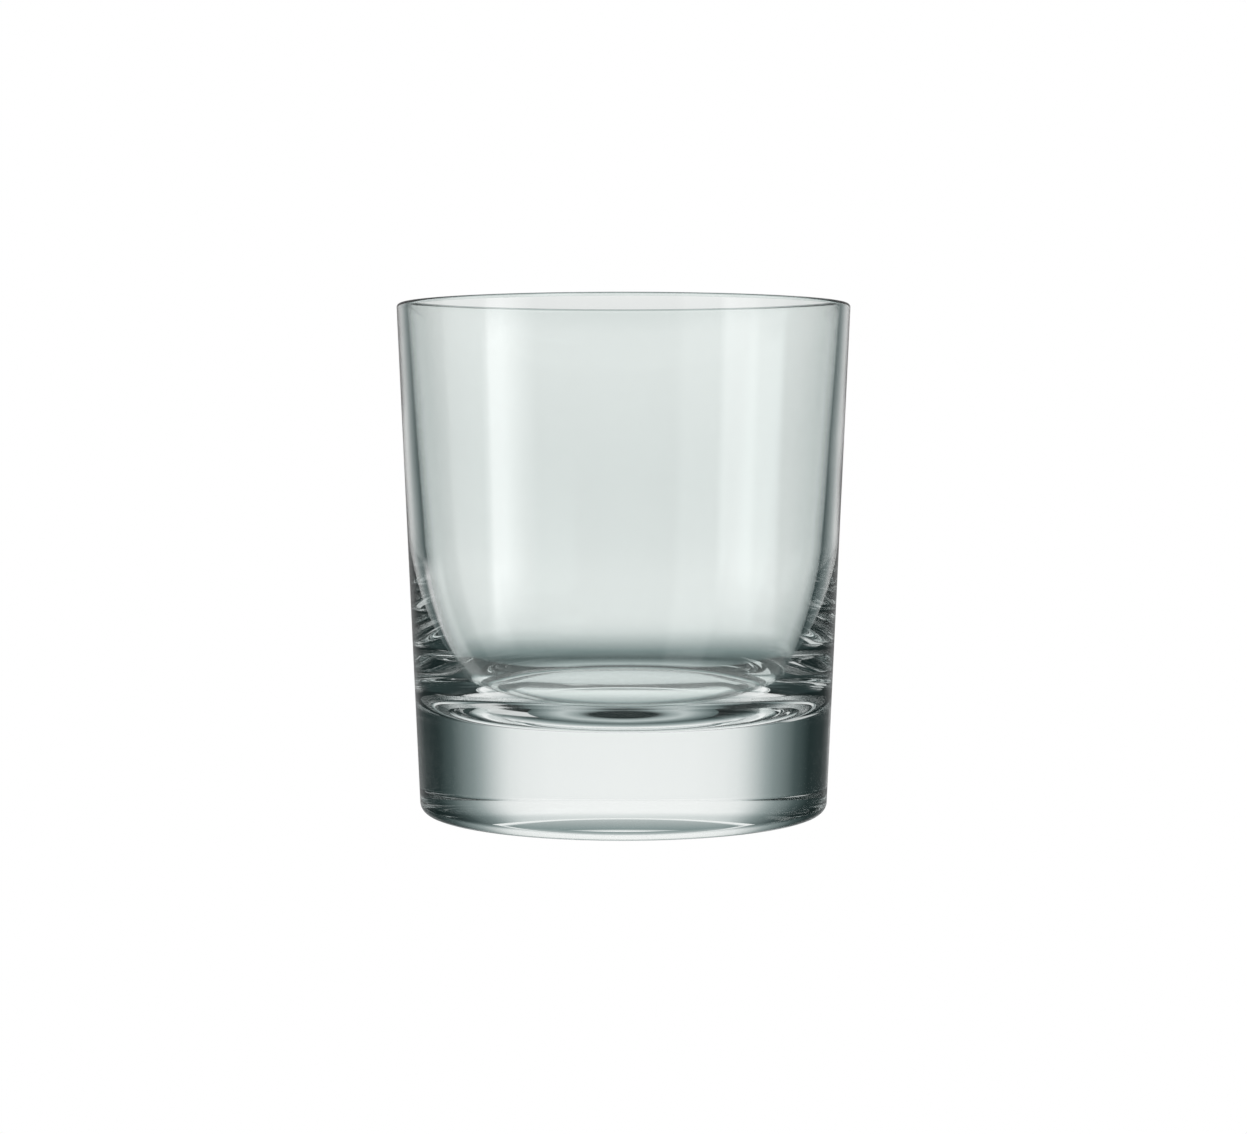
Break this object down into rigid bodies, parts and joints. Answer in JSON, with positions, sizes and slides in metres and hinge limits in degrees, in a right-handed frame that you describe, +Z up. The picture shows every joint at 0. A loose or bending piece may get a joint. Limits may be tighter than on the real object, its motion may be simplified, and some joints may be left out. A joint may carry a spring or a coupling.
{
  "type": "whiskey tumbler",
  "caption": "Low, straight-sided drinking glass with a rounded bowl, a thick solid base and a slight outward taper, in one piece of clear moulded glass.",
  "frame": {"origin": "centre of the circle that the glass rests on, in the plane of its resting ring", "axes": "+Z up along the axis of revolution, out of the mouth; the glass is the same all round, so +X and +Y are any two horizontal directions"},
  "size_m": [0.0828, 0.0828, 0.093],
  "materials": {
    "clear_glass": "fire-polished clear soda-lime glass, faint green-grey in its thick edges"
  },
  "bodies": {
    "root": {"tumbler_glass": "clear_glass"}
  },
  "joints": []
}
